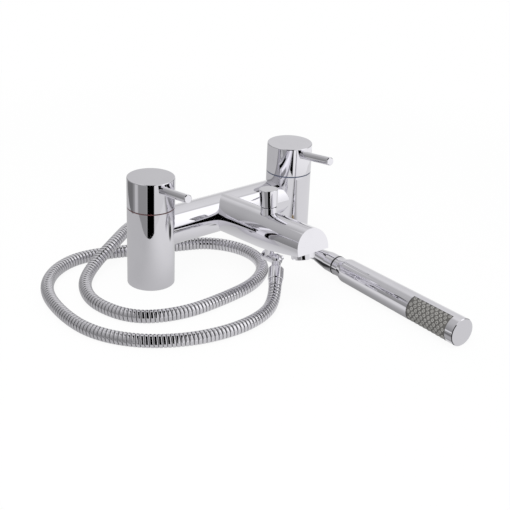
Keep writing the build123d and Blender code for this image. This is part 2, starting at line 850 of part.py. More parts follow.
def spray_sector(inner, outer, low, high, half_angle):
    """A curved patch of the handset's wall, about the spray's middle line."""
    reach = 2 * end_radius
    blade = Polyline(
        (0, 0), (reach * cos(radians(half_angle)), reach * sin(radians(half_angle))),
        (reach * 2, reach * 2), (reach * 2, -reach * 2),
        (reach * cos(radians(half_angle)), -reach * sin(radians(half_angle))), close=True,
    )
    wedge = Pos(0, 0, low) * extrude(make_face(blade), high - low)
    shell = turned([
        (inner, low), (body_radius(low) + outer, low), (body_radius(high) + outer, high), (inner, high),
    ])
    return Rot(Z=spray_centre) * (wedge & shell)


def make_handset_body():
    """The handset's tube with its shoulder and the spray window."""
    body = turned([
        (0, inlet_collar_end), (nut_radius, inlet_collar_end), (nut_radius, inlet_collar_end + overrun),
        (shoulder_radius, shoulder_end), (end_radius, end_start), (0, end_start),
    ])
    edge = body.edges().filter_by(GeomType.CIRCLE).filter_by(
        lambda e: abs(e.center().Z - shoulder_end) < fit_gap
    )
    body = fillet(edge, shoulder_end - inlet_collar_end - overrun)
    body -= rod(inlet_spigot_radius + fit_gap, 0, inlet_spigot_end)
    body -= rod(grip_bore, shoulder_end, end_start + overrun)
    high = spray_start + spray_length
    return handset_line() * (body - spray_sector(0, overrun, spray_start, high, spray_half_angle))


def make_liner():
    """The plastic water tube inside the handset, open under the spray face."""
    outer = grip_bore - fit_gap
    body = ring(outer, outer - liner_wall, inlet_spigot_end, liner_end)
    body -= spray_sector(
        0, overrun, spray_start + spray_port_margin, spray_start + spray_length - spray_port_margin,
        spray_port_half_angle,
    )
    return handset_line() * body


def nozzle_spots():
    """The place along the handset and the angle of every nozzle, in staggered rows."""
    spots = []
    for row in range(nozzle_rows):
        turn = spray_centre + (row - (nozzle_rows - 1) / 2) * nozzle_row_angle
        count = nozzle_columns - row % 2
        first = spray_start + (spray_length - (count - 1) * nozzle_pitch) / 2
        spots += [(first + column * nozzle_pitch, turn) for column in range(count)]
    return spots


def make_spray_face():
    """The curved spray face with its nozzles."""
    low = spray_start + joint_gap / 2
    high = spray_start + spray_length - joint_gap / 2
    inner = grip_bore + fit_gap
    body = spray_sector(inner, -spray_recess, low, high, spray_half_angle - spray_gap_angle)
    for place, turn in nozzle_spots():
        line = Plane(origin=(0, 0, place), x_dir=(0, 1, 0), z_dir=(1, 0, 0))
        body -= Rot(Z=turn) * (line * rod(nozzle_radius, grip_bore / 2, 2 * end_radius))
    return handset_line() * body


def make_end_cap():
    """The handset's end cap with its spigot."""
    body = turned([
        (0, end_start), (end_radius, end_start), (end_radius, handset_length - cap_edge),
        (end_radius - cap_edge, handset_length), (0, handset_length),
    ])
    outer = grip_bore - fit_gap
    body += ring(outer, outer - cap_spigot_wall, end_start - cap_spigot + joint_gap, end_start)
    return handset_line() * body


def side_parts(name, side, angle):
    """All pieces of one tap, hot or cold, by node name."""
    move = Pos(side * tap_centres / 2, 0, 0)
    moving_disc = valve_base + disc_thickness + fit_gap
    pieces = {
        "pillar": make_pillar(-side),
        "base_seal": make_base_seal(),
        "ring": make_indicator_ring(),
        "head": make_head(angle),
        "lever": make_lever(angle),
        "grub_screw": make_grub_screw(angle),
        "valve_body": make_valve_body(),
        "spindle": make_spindle(angle),
        "spindle_seal": seal_ring(spindle_radius, seal_height),
        "spindle_clip": make_clip(),
        "moving_disc": make_disc(moving_disc, 90 + angle),
        "fixed_disc": make_disc(valve_base, 0),
        "seat_washer": ring(seat_washer_radius, seat_washer_bore, seat_height, valve_base),
    }
    return {f"{name}_{piece}": move * shape for piece, shape in pieces.items()}


def spout_parts():
    """The bridge, spout, diverter and aerator by node name."""
    collar_top = knob_foot_height - joint_gap
    upper_low = plug_low + plug_washer_height + plug_height
    seal = seal_ring(stem_radius, (gland_face_height + collar_top) / 2)
    return {
        "bridge_bar": make_bridge(),
        "spout": make_spout(),
        "diverter_knob": place_diverter(make_knob()),
        "diverter_stem": place_diverter(make_stem()),
        "diverter_lower_washer": place_diverter(make_plug_washer(plug_low, plug_stub_radius)),
        "diverter_upper_washer": place_diverter(make_plug_washer(upper_low, stem_radius)),
        "diverter_collar": place_diverter(make_collar()),
        "diverter_seal": place_diverter(seal),
        "aerator_housing": make_aerator_housing(),
        "aerator_core": make_aerator_core(),
        "aerator_washer": make_aerator_washer(),
    }


def shower_parts():
    """The outlet, hose and handset by node name."""
    return {
        "outlet_elbow": make_elbow(),
        "outlet_washer": make_nipple_washer(),
        "check_valve": make_check_valve(),
        "knuckle_pin": make_knuckle_pin(),
        "outlet_tail": make_tail(),
        "hose_nut": make_outlet_nut(),
        "hose_washer": make_outlet_washer(),
        "hose_ferrule": make_outlet_ferrule(),
        "shower_hose": make_hose(),
        "handset_ferrule": make_handset_ferrule(),
        "handset_washer": make_handset_washer(),
        "handset_nut": make_handset_nut(),
        "handset_o_ring": make_handset_o_ring(),
        "handset_inlet": make_handset_inlet(),
        "handset_restrictor": make_restrictor(),
        "handset_body": make_handset_body(),
        "handset_liner": make_liner(),
        "spray_face": make_spray_face(),
        "handset_end_cap": make_end_cap(),
    }


parts = {}
parts.update(side_parts("hot", -1, hot_lever_angle))
parts.update(side_parts("cold", 1, cold_lever_angle))
parts.update(spout_parts())
parts.update(shower_parts())
os.makedirs("parts", exist_ok=True)
for node, shape in parts.items():
    shape.label = node
    export_step(shape, f"parts/{node}.step")
    print(node, "solids", len(shape.solids()), "volume", round(shape.volume, 1))
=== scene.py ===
"""Bath shower mixer on a white deck: camera, ribbed hose, spray nozzles, finishes and studio.

Everything is in metres, +Z up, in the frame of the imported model.
"""
import logging
from dataclasses import dataclass
from enum import Enum
from math import cos, pi, radians, sin
from typing import Any, Iterable, Sequence, Union

import bmesh
import bpy
import numpy as np
from mathutils import Matrix, Quaternion, Vector


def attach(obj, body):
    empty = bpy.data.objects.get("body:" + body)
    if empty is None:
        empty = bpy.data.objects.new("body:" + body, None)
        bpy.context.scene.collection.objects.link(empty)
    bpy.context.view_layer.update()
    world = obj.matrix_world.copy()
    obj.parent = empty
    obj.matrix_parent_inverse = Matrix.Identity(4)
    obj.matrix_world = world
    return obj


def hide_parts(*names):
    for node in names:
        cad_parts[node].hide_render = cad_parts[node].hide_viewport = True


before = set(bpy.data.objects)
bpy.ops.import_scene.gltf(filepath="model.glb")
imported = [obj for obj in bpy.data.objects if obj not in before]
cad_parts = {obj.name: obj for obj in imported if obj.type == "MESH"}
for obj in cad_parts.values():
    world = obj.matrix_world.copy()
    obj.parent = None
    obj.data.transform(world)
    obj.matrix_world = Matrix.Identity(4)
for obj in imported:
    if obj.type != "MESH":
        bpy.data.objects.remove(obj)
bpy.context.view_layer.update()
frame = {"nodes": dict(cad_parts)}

LOG = logging.getLogger("bath_shower_mixer")

GROOVE_MARK = "groove"
WELD_DISTANCE = 1e-7
FULL_TURN = 2 * pi
HALF_CIRCLE = 180.0
WHITE_GREY = 255.0

Colour = tuple[float, float, float]
Place = tuple[float, float, float]
Number = Union[float, "Value"]


class Slot(Enum):
    """The finishes of the mixer, by the names of the model's material slots."""

    CHROME = "chrome"
    HOSE_STEEL = "hose_steel"
    BRASS = "brass"
    STEEL = "steel"
    RUBBER = "black_rubber"
    RED = "red_mark"
    BLUE = "blue_mark"
    PLASTIC = "white_plastic"
    CERAMIC = "valve_disc"
    SPRAY = "spray_grey"


class Body(Enum):
    """The bodies that new pieces ride on."""

    MIXER = "mixer"
    HANDSET = "handset"


class Value:
    """A shader socket that carries a number, with sums written as Python expressions."""

    def __init__(self, tree: "Tree", socket: bpy.types.NodeSocket) -> None:
        """Keep the socket and the tree it belongs to."""
        self.tree = tree
        self.socket = socket

    def _maths(self, operation: str, first: Number, second: Number) -> "Value":
        """Add one Math node.

        Args:
            operation: the Math node's operation.
            first: its first value.
            second: its second value.

        Returns:
            The node's result.
        """
        node = self.tree.node("ShaderNodeMath", {"operation": operation}, {0: first, 1: second})
        return Value(self.tree, node.outputs[0])

    def __add__(self, other: Number) -> "Value":
        """self + other."""
        return self._maths("ADD", self, other)

    def __sub__(self, other: Number) -> "Value":
        """self - other."""
        return self._maths("SUBTRACT", self, other)

    def __rsub__(self, other: Number) -> "Value":
        """other - self."""
        return self._maths("SUBTRACT", other, self)

    def __mul__(self, other: Number) -> "Value":
        """self * other."""
        return self._maths("MULTIPLY", self, other)

    def __truediv__(self, other: Number) -> "Value":
        """self / other."""
        return self._maths("DIVIDE", self, other)

    def __abs__(self) -> "Value":
        """The value without its sign."""
        return self._maths("ABSOLUTE", self, 0.0)


class Tree:
    """A shader node tree that is filled through one method."""

    def __init__(self, owner: Union[bpy.types.Material, bpy.types.World]) -> None:
        """Switch the owner to nodes and empty its tree."""
        owner.use_nodes = True
        self.nodes = owner.node_tree.nodes
        self.links = owner.node_tree.links
        self.nodes.clear()

    def node(
        self, kind: str, settings: dict[str, Any] | None = None, inputs: dict[Any, Any] | None = None
    ) -> bpy.types.Node:
        """Add a node, its settings first and then its sockets.

        Args:
            kind: the node's type.
            settings: its properties by name; "stops" are a ramp's places and colours.
            inputs: values, sockets or Value objects by the socket's name or number.

        Returns:
            The new node.
        """
        node = self.nodes.new(kind)
        for name, setting in (settings or {}).items():
            if name == "stops":
                self._set_stops(node, setting)
            else:
                setattr(node, name, setting)
        for key, given in (inputs or {}).items():
            socket = node.inputs[key]
            if isinstance(given, Value):
                given = given.socket
            if isinstance(given, bpy.types.NodeSocket):
                self.links.new(given, socket)
            else:
                socket.default_value = given
        return node

    @staticmethod
    def _set_stops(node: bpy.types.Node, stops: Sequence[tuple[float, float]]) -> None:
        """Give a ramp its stops.

        Args:
            node: the Color Ramp node.
            stops: each stop's place and grey level.
        """
        ramp = node.color_ramp
        while len(ramp.elements) < len(stops):
            ramp.elements.new(0.5)
        for element, (place, level) in zip(ramp.elements, stops):
            element.position = place
            element.color = (level, level, level, 1.0)

    def value(self, node: bpy.types.Node, output: Union[str, int] = 0) -> Value:
        """One output of a node as a Value."""
        return Value(self, node.outputs[output])

    def vector(self, operation: str, first: Any, second: Place) -> Value:
        """One number from a vector and a fixed vector.

        Args:
            operation: the Vector Math node's operation.
            first: the vector's socket.
            second: the fixed vector.

        Returns:
            The node's number.
        """
        node = self.node("ShaderNodeVectorMath", {"operation": operation}, {0: first, 1: second})
        return self.value(node, "Value")

    def mix(self, low: Any, high: Any, share: Number) -> bpy.types.NodeSocket:
        """Mix two colours.

        Args:
            low: the colour at share 0.
            high: the colour at share 1.
            share: how much of the second colour there is.

        Returns:
            The mixed colour's socket.
        """
        settings = {"data_type": "RGBA", "blend_type": "MIX"}
        node = self.node("ShaderNodeMix", settings, {"Factor": share, 6: low, 7: high})
        return node.outputs[2]

    def place(self) -> bpy.types.NodeSocket:
        """The position on the object, in metres."""
        return self.node("ShaderNodeTexCoord").outputs["Object"]

    def noise(self, scale: float, detail: float) -> Value:
        """Soft cloudy noise.

        Args:
            scale: how many clouds fit in a metre.
            detail: how many finer layers it has.

        Returns:
            A value from 0 to 1.
        """
        inputs = {"Vector": self.place(), "Scale": scale, "Detail": detail}
        return self.value(self.node("ShaderNodeTexNoise", {}, inputs), "Fac")

    def fade(self, value: Number, low: float, high: float, start: float, end: float) -> Value:
        """A smooth change from one level to another.

        Args:
            value: what the level depends on.
            low: where the change starts.
            high: where it ends.
            start: the level below low.
            end: the level above high.

        Returns:
            The level.
        """
        inputs = {"Value": value, "From Min": low, "From Max": high, "To Min": start, "To Max": end}
        return self.value(self.node("ShaderNodeMapRange", {"interpolation_type": "SMOOTHSTEP"}, inputs))

    def bump(self, height: Number, depth: float) -> bpy.types.NodeSocket:
        """A normal disturbed by a height between 0 and 1.

        Args:
            height: the height pattern.
            depth: what height 1 stands for, in metres.

        Returns:
            The normal's socket.
        """
        return self.node("ShaderNodeBump", {}, {"Height": height, "Distance": depth}).outputs[0]

    def finish(self, shader: bpy.types.NodeSocket, kind: str = "ShaderNodeOutputMaterial") -> None:
        """Connect the shader to the output."""
        self.node(kind, {}, {"Surface": shader})


@dataclass(frozen=True)
class Metal:
    """A metal with faint clouding, handling marks and polishing waves.

    Where the finish has a painted groove shade, the grooves that the piece's mesh marks are painted dark,
    as shade in the hollows.
    """

    slot: Slot
    colour: Colour
    clouded: Colour
    roughness: float
    smudged: float
    smudge_scale: float
    wave_scale: float
    wave_depth: float
    # Painted shade: the dark colour painted into the marked grooves, and where it starts and ends.
    groove_painted_shade: Colour | None = None
    groove_shade_fade: tuple[float, float] = (0.15, 0.7)
    groove_rough: float = 0.3
    smudge_detail: float = 4.0
    wave_detail: float = 2.0
    smudge_fade: tuple[float, float] = (0.48, 0.72)
    smudge_share: float = 0.7

    def material(self) -> bpy.types.Material:
        """The metal as a material."""
        made = bpy.data.materials.new(f"finish_{self.slot.value}")
        tree = Tree(made)
        smudge = tree.fade(tree.noise(self.smudge_scale, self.smudge_detail), *self.smudge_fade, 0.0, 1.0)
        fine = tree.noise(self.wave_scale, self.wave_detail)
        cloud = smudge * self.smudge_share + fine * (1.0 - self.smudge_share)
        colour = tree.mix((*self.colour, 1.0), (*self.clouded, 1.0), cloud)
        rough = smudge * (self.smudged - self.roughness) + self.roughness
        if self.groove_painted_shade is not None:
            # Painted shade in the grooves, darkest where the mesh marks them deepest; the grooves are also
            # rougher.
            mark = tree.value(tree.node("ShaderNodeAttribute", {"attribute_name": GROOVE_MARK}), "Fac")
            depth = tree.fade(mark, *self.groove_shade_fade, 0.0, 1.0)
            colour = tree.mix(colour, (*self.groove_painted_shade, 1.0), depth)
            rough = rough + depth * self.groove_rough
        inputs = {
            "Base Color": colour, "Metallic": 1.0, "Roughness": rough,
            "Normal": tree.bump(fine, self.wave_depth),
        }
        tree.finish(tree.node("ShaderNodeBsdfPrincipled", {}, inputs).outputs[0])
        return made


@dataclass(frozen=True)
class Moulded:
    """A rubber, plastic, ceramic or enamel with mottled colour and a fine grain."""

    slot: Slot
    colour: Colour
    mottled: Colour
    roughness: float
    worn: float
    mottle_scale: float
    grain_scale: float
    grain_depth: float
    coat: float = 0.0
    mottle_detail: float = 5.0
    grain_detail: float = 3.0
    mottle_fade: tuple[float, float] = (0.35, 0.7)
    mottle_share: float = 0.6

    def material(self) -> bpy.types.Material:
        """The stuff as a material."""
        made = bpy.data.materials.new(f"finish_{self.slot.value}")
        tree = Tree(made)
        mottle = tree.fade(tree.noise(self.mottle_scale, self.mottle_detail), *self.mottle_fade, 0.0, 1.0)
        grain = tree.noise(self.grain_scale, self.grain_detail)
        share = mottle * self.mottle_share + grain * (1.0 - self.mottle_share)
        inputs = {
            "Base Color": tree.mix((*self.colour, 1.0), (*self.mottled, 1.0), share),
            "Roughness": mottle * (self.worn - self.roughness) + self.roughness,
            "Coat Weight": self.coat,
            "Normal": tree.bump(grain, self.grain_depth),
        }
        tree.finish(tree.node("ShaderNodeBsdfPrincipled", {}, inputs).outputs[0])
        return made


FINISHES = (
    Metal(Slot.CHROME, (0.845, 0.835, 0.878), (0.805, 0.795, 0.838), 0.035, 0.075, 26.0, 60.0, 0.00001),
    Metal(
        Slot.HOSE_STEEL, (0.77, 0.76, 0.80), (0.67, 0.66, 0.695), 0.06, 0.13, 40.0, 400.0, 0.00001,
        # painted shade in the hose's grooves
        groove_painted_shade=(0.04, 0.04, 0.044),
    ),
    Metal(Slot.BRASS, (0.78, 0.60, 0.31), (0.62, 0.45, 0.22), 0.22, 0.38, 90.0, 900.0, 0.00002),
    Metal(Slot.STEEL, (0.58, 0.58, 0.60), (0.42, 0.42, 0.44), 0.28, 0.45, 120.0, 1200.0, 0.00002),
    Moulded(Slot.RUBBER, (0.018, 0.018, 0.019), (0.04, 0.04, 0.041), 0.55, 0.8, 90.0, 2500.0, 0.00003),
    Moulded(Slot.RED, (0.15, 0.06, 0.06), (0.12, 0.045, 0.045), 0.15, 0.3, 150.0, 1500.0, 0.00001, 0.6),
    Moulded(Slot.BLUE, (0.09, 0.12, 0.20), (0.07, 0.09, 0.16), 0.15, 0.3, 150.0, 1500.0, 0.00001, 0.6),
    Moulded(Slot.PLASTIC, (0.74, 0.74, 0.72), (0.64, 0.64, 0.60), 0.3, 0.45, 80.0, 1800.0, 0.00002),
    Moulded(Slot.CERAMIC, (0.85, 0.85, 0.80), (0.76, 0.75, 0.70), 0.12, 0.25, 120.0, 2200.0, 0.00001),
    Moulded(Slot.SPRAY, (0.085, 0.082, 0.078), (0.12, 0.115, 0.11), 0.38, 0.55, 220.0, 2600.0, 0.00003),
)


class Wardrobe:
    """All finishes, made once and handed out by slot."""

    def __init__(self, finishes: Iterable[Union[Metal, Moulded]]) -> None:
        """Make every material."""
        self.materials = {made.slot: made.material() for made in finishes}

    def dress(self, piece: bpy.types.Object, slot: Slot) -> None:
        """Give a new piece the finish of one slot."""
        piece.data.materials.clear()
        piece.data.materials.append(self.materials[slot])

    def dress_frame(self, nodes: dict[str, bpy.types.Object]) -> None:
        """Swap the plain material of every carried-over node for its finish.

        Args:
            nodes: the frame's nodes by name.
        """
        for piece in nodes.values():
            for holder in piece.material_slots:
                plain = holder.material.name.split(".")[0]
                holder.material = self.materials[Slot(plain)]
        LOG.info("dressed %d nodes of the frame", len(nodes))


def piece_from(
    name: str, points: Any, faces: Any, body: Body, crease: float, depths: Any = None
) -> bpy.types.Object:
    """Make a smooth mesh piece that rides on a body.

    Args:
        name: the piece's name.
        points: its vertices.
        faces: its faces, as vertex numbers.
        body: the body it rides on.
        crease: edges sharper than this many degrees stay sharp.
        depths: how deep in a groove each vertex lies, from 0 to 1, for a finish that paints shade into
            grooves.

    Returns:
        The new piece.
    """
    mesh = bpy.data.meshes.new(name)
    mesh.from_pydata([tuple(p) for p in points], [], [tuple(f) for f in faces])
    if depths is not None:
        mesh.attributes.new(GROOVE_MARK, "FLOAT", "POINT").data.foreach_set("value", depths)
    work = bmesh.new()
    work.from_mesh(mesh)
    bmesh.ops.remove_doubles(work, verts=work.verts, dist=WELD_DISTANCE)
    bmesh.ops.recalc_face_normals(work, faces=work.faces)
    work.to_mesh(mesh)
    work.free()
    mesh.polygons.foreach_set("use_smooth", [True] * len(mesh.polygons))
    mesh.set_sharp_from_angle(angle=radians(crease))
    piece = bpy.data.objects.new(name, mesh)
    bpy.context.scene.collection.objects.link(piece)
    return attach(piece, body.value)


HOSE_ROUTE = (
    (-0.01491, -0.10689, 0.01802), (-0.02533, -0.11875, 0.00651), (-0.055, -0.136, 0.0065),
    (-0.095, -0.141, 0.0065), (-0.139, -0.132, 0.0065), (-0.179, -0.107, 0.0065),
    (-0.204, -0.068, 0.0065), (-0.207, -0.020, 0.0065), (-0.196, 0.031, 0.0065),
    (-0.166, 0.065, 0.0065), (-0.126, 0.078, 0.0065), (-0.080, 0.063, 0.0065),
    (-0.031, 0.045, 0.0065), (0.009, 0.029, 0.0065), (0.029, -0.009, 0.0065),
    (0.020, -0.050, 0.0065), (-0.015, -0.077, 0.0065), (-0.063, -0.085, 0.0065),
    (-0.113, -0.087, 0.0065), (-0.156, -0.068, 0.0065), (-0.171, -0.024, 0.0065),
    (-0.162, 0.014, 0.0065), (-0.138, 0.041, 0.009), (-0.098, 0.056, 0.0235),
    (-0.060, 0.083, 0.0235), (-0.033, 0.106, 0.009), (0.004, 0.110, 0.0065),
    (0.037, 0.094, 0.0065), (0.057, 0.063, 0.0065), (0.056, 0.000, 0.0065),
    (0.065, -0.038, 0.008), (0.07532, -0.058, 0.01205), (0.07467, -0.080, 0.01226),
)


@dataclass
class Hose:
    """The ribbed metal hose, wound from one strip, that lies in two loops on the deck."""

    radius: float = 0.0065
    groove_depth: float = 0.0009
    pitch: float = 0.00395
    columns: int = 40
    spare_ribs: int = 2
    crease: float = 50.0
    spline_order: int = 3
    steps_per_point: int = 24
    pieces_on_it: tuple[str, ...] = (
        "hose_nut", "hose_washer", "hose_ferrule", "handset_ferrule", "handset_washer", "handset_nut",
    )
    rib_shares: tuple[tuple[float, float], ...] = (
        (0.0, 1.0), (0.05, 0.9), (0.1, 0.38), (0.16, 0.12), (0.25, 0.03), (0.36, 0.005), (0.5, 0.0),
        (0.64, 0.005), (0.75, 0.03), (0.86, 0.12), (0.92, 0.38), (0.97, 0.9),
    )

    def line(self) -> np.ndarray:
        """The route's spline as a row of points.

        Returns:
            The points, one row each.
        """
        curve = bpy.data.curves.new("hose_route", "CURVE")
        curve.dimensions = "3D"
        spline = curve.splines.new("NURBS")
        spline.points.add(len(HOSE_ROUTE) - 1)
        for point, place in zip(spline.points, HOSE_ROUTE):
            point.co = (*place, 1.0)
        spline.order_u = self.spline_order
        spline.use_endpoint_u = True
        spline.resolution_u = self.steps_per_point
        holder = bpy.data.objects.new("hose_route", curve)
        bpy.context.scene.collection.objects.link(holder)
        mesh = bpy.data.meshes.new_from_object(holder)
        points = np.array([tuple(v.co) for v in mesh.vertices])
        bpy.data.objects.remove(holder)
        bpy.data.meshes.remove(mesh)
        return points

    @staticmethod
    def frames(points: np.ndarray) -> tuple[np.ndarray, np.ndarray, np.ndarray]:
        """Two directions across the line at every point, turned as little as possible.

        Args:
            points: the line's points.

        Returns:
            The distances along the line and the two sets of directions.
        """
        runs = np.linalg.norm(np.diff(points, axis=0), axis=1)
        along = np.concatenate([[0.0], np.cumsum(runs)])
        tangents = np.gradient(points, along, axis=0)
        tangents /= np.linalg.norm(tangents, axis=1)[:, None]
        side = Vector(tangents[0]).cross(Vector((0.0, 0.0, 1.0))).normalized()
        sides = [side]
        for before, after in zip(tangents, tangents[1:]):
            side = Vector(before).rotation_difference(Vector(after)) @ side
            sides.append(side)
        first = np.array([tuple(s) for s in sides])
        return along, first, np.cross(tangents, first)

    def build(self, wardrobe: Wardrobe) -> bpy.types.Object:
        """Args:
            wardrobe: the finishes.

        Returns:
            The hose.
        """
        line = self.line()
        along, first, second = self.frames(line)
        length = float(along[-1])
        ribs = int(length / self.pitch) + self.spare_ribs
        shares = [(rib - 1 + share, depth) for rib in range(ribs) for share, depth in self.rib_shares]
        turn = np.arange(self.columns) / self.columns
        place = np.clip((np.array([s for s, _ in shares])[:, None] + turn) * self.pitch, 0.0, length)
        reach = (self.radius - np.array([d for _, d in shares]) * self.groove_depth)[:, None, None]
        angle = (FULL_TURN * turn)[None, :, None]

        def at(rows: np.ndarray) -> np.ndarray:
            """The rows of a table at every place along the hose."""
            return np.stack([np.interp(place, along, rows[:, axis]) for axis in range(3)], axis=-1)

        points = at(line) + reach * (np.cos(angle) * at(first) + np.sin(angle) * at(second))
        rows, step = len(shares), len(self.rib_shares)
        number = np.arange(rows * self.columns).reshape(rows, self.columns)
        faces = []
        for row in range(rows - 1):
            for column in range(self.columns - 1):
                low, high = number[row], number[row + 1]
                faces.append((low[column], low[column + 1], high[column + 1], high[column]))
            if row + 1 + step < rows:
                faces.append((
                    number[row][-1], number[row + step][0], number[row + 1 + step][0], number[row + 1][-1],
                ))
        # Groove depths, which the hose's finish uses to paint shade into the grooves.
        depths = np.repeat([depth for _, depth in shares], self.columns).astype(np.float32)
        piece = piece_from("ribbed_hose", points.reshape(-1, 3), faces, Body.MIXER, self.crease, depths)
        wardrobe.dress(piece, Slot.HOSE_STEEL)
        piece.visible_glossy = False
        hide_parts("shower_hose")
        LOG.info("ribbed_hose: %.3f m, %d ribs", length, ribs)
        return piece


@dataclass
class SprayNozzles:
    """The soft nozzles that stand in staggered rows on the handset's spray face."""

    entry: float = 0.008
    start: float = 0.1453
    length: float = 0.052
    middle: float = 175.0
    shoulder: float = 0.046
    shoulder_radius: float = 0.0126
    end: float = 0.205
    end_radius: float = 0.0141
    recess: float = 0.0004
    pitch: float = 0.0057
    row_angle: float = 16.0
    rows: int = 9
    columns: int = 9
    sides: int = 20
    crease: float = 60.0
    outline: tuple[tuple[float, float], ...] = (
        (0.00195, -0.0002), (0.00180, 0.00008), (0.00145, 0.00028), (0.00105, 0.00037),
        (0.00082, 0.00038), (0.00060, 0.00032), (0.00048, 0.00012), (0.00046, -0.0004),
    )

    def axes(self) -> tuple[Vector, Vector, Vector, Vector]:
        """The handset's line.

        Returns:
            Its origin, its direction, and the directions of its angles 0 and 90.
        """
        before, last = (Vector(p) for p in HOSE_ROUTE[-2:])
        along = (last - before).normalized()
        across = -along.cross(Vector((0.0, 0.0, 1.0))).normalized()
        return last - along * self.entry, along, across, along.cross(across)

    def spots(self) -> list[tuple[float, float]]:
        """The place along the handset and the angle of every nozzle."""
        found = []
        for row in range(self.rows):
            turn = self.middle + (row - (self.rows - 1) / 2) * self.row_angle
            count = self.columns - row % 2
            first = self.start + (self.length - (count - 1) * self.pitch) / 2
            found += [(first + column * self.pitch, radians(turn)) for column in range(count)]
        return found

    def build(self, wardrobe: Wardrobe, finish: bpy.types.Material) -> bpy.types.Object:
        """Build all nozzles as one soft mat of nubs.

        Args:
            wardrobe: the finishes.
            finish: the nozzles' own material.

        Returns:
            The mat.
        """
        origin, along, across, upward = self.axes()
        points, faces = [], []
        slope = (self.end_radius - self.shoulder_radius) / (self.end - self.shoulder)
        for place, turn in self.spots():
            out = cos(turn) * across + sin(turn) * upward
            beside = along.cross(out)
            seat = self.shoulder_radius + slope * (place - self.shoulder) - self.recess
            start = len(points)
            for radius, height in self.outline:
                for side in range(self.sides):
                    angle = FULL_TURN * side / self.sides
                    flat = radius * (cos(angle) * along + sin(angle) * beside)
                    points.append(origin + along * place + out * (seat + height) + flat)
            for ring in range(len(self.outline) - 1):
                low = start + ring * self.sides
                for side in range(self.sides):
                    after = (side + 1) % self.sides
                    faces.append((
                        low + side, low + after, low + self.sides + after, low + self.sides + side,
                    ))
        piece = piece_from("spray_nozzles", points, faces, Body.HANDSET, self.crease)
        wardrobe.dress(piece, Slot.SPRAY)
        piece.data.materials[0] = finish
        LOG.info("spray_nozzles: %d nozzles", len(self.spots()))
        return piece


@dataclass(frozen=True)
class Viewpoint:
    """The photograph's camera."""

    place: Place = (-0.7001, -0.8890, 0.5358)
    heading: float = 40.06
    descent: float = 25.09
    roll: float = 2.27
    focal_pixels: float = 1172.45
    frame_pixels: float = 510.0
    sensor: float = 36.0

    def build(self) -> bpy.types.Object:
        """Make the camera and set it as the scene's.

        Returns:
            The camera.
        """
        heading, descent = radians(self.heading), radians(self.descent)
        forward = Vector((sin(heading) * cos(descent), cos(heading) * cos(descent), -sin(descent)))
        right = Vector((cos(heading), -sin(heading), 0.0))
        upright = right.cross(forward)
        tilt = Quaternion(forward, -radians(self.roll))
        right, upright = tilt @ right, tilt @ upright
        turned = Matrix((right, upright, -forward)).transposed().to_4x4()
        lens = bpy.data.cameras.new("camera")
        lens.sensor_width = self.sensor
        lens.lens = self.sensor * self.focal_pixels / self.frame_pixels
        camera = bpy.data.objects.new("camera", lens)
        bpy.context.scene.collection.objects.link(camera)
        camera.matrix_world = Matrix.Translation(self.place) @ turned
        bpy.context.scene.camera = camera
        return camera


@dataclass(frozen=True)
class Panel:
    """A soft-edged patch of the room that polished metal reflects.

    The azimuth is 0 towards -Y and 90 towards +X. Angles are in degrees, and grey is how bright the
    patch shows on the chrome, from 0 to 255. Where upper_grey is given, it fades to that upwards.
    """

    name: str
    azimuth: float
    half_width: float
    elevation: float
    half_height: float
    grey: float
    edge: float = 4.0
    rise_edge: float = 4.0
    upper_grey: float | None = None


ROOM = (
    Panel("left_deck", -115.0, 68.0, -50.0, 32.0, 132.0, 10.0, 3.0),
    Panel("under_handset", -165.0, 30.0, -44.0, 9.0, 156.0, 8.0, 3.0),
    Panel("left_streak", -107.0, 9.0, -32.0, 14.0, 178.0, 5.0, 3.0),
    Panel("far_left_deck", -150.0, 22.0, -26.0, 6.0, 105.0, 6.0, 2.0),
    Panel("left_wall", -122.0, 70.0, 20.0, 38.0, 122.0, 15.0, 4.0, 175.0),
    Panel("handset_streak", -170.0, 7.0, 43.0, 2.5, 222.0, 2.0, 1.0),
    Panel("front_floor", 22.0, 42.0, -32.0, 10.5, 196.0, 5.0, 1.0),
    Panel("back_shelf", 156.0, 14.0, 20.0, 7.0, 182.0, 8.0, 3.0),
    Panel("right_wall", 86.0, 30.0, 13.0, 17.0, 138.0, 6.0, 5.0),
    Panel("window", 42.0, 16.0, 14.0, 28.0, 228.0, 4.0, 4.0, 258.0),
    Panel("window_top", 56.0, 22.0, 47.0, 12.0, 255.0, 5.0, 4.0),
    Panel("window_frame", 84.0, 6.0, 53.0, 6.0, 194.0, 3.0, 3.0),
)


@dataclass(frozen=True)
class DarkStrip:
    """The dark strip that runs from the floor behind the camera to just past the zenith."""

    azimuth: float = -35.0
    half_width: float = 15.0
    edge: float = 1.5
    past_zenith: float = 20.0
    end_blur: float = 0.05
    grey: float = 1.0

    def share(self, tree: Tree, direction: bpy.types.NodeSocket) -> Value:
        """How much of the strip lies in every direction.

        Args:
            tree: the world's tree.
            direction: the direction that is looked in.

        Returns:
            1 in the strip and 0 outside it.
        """
        turn = radians(self.azimuth)
        aside = abs(tree.vector("DOT_PRODUCT", direction, (cos(turn), sin(turn), 0.0)))
        front = tree.vector("DOT_PRODUCT", direction, (sin(turn), -cos(turn), 0.0))
        inner, outer = (sin(radians(self.half_width + side * self.edge)) for side in (-1, 1))
        back = -sin(radians(self.past_zenith))
        beyond = tree.fade(front, back - self.end_blur, back + self.end_blur, 0.0, 1.0)
        return tree.fade(aside, inner, outer, 1.0, 0.0) * beyond


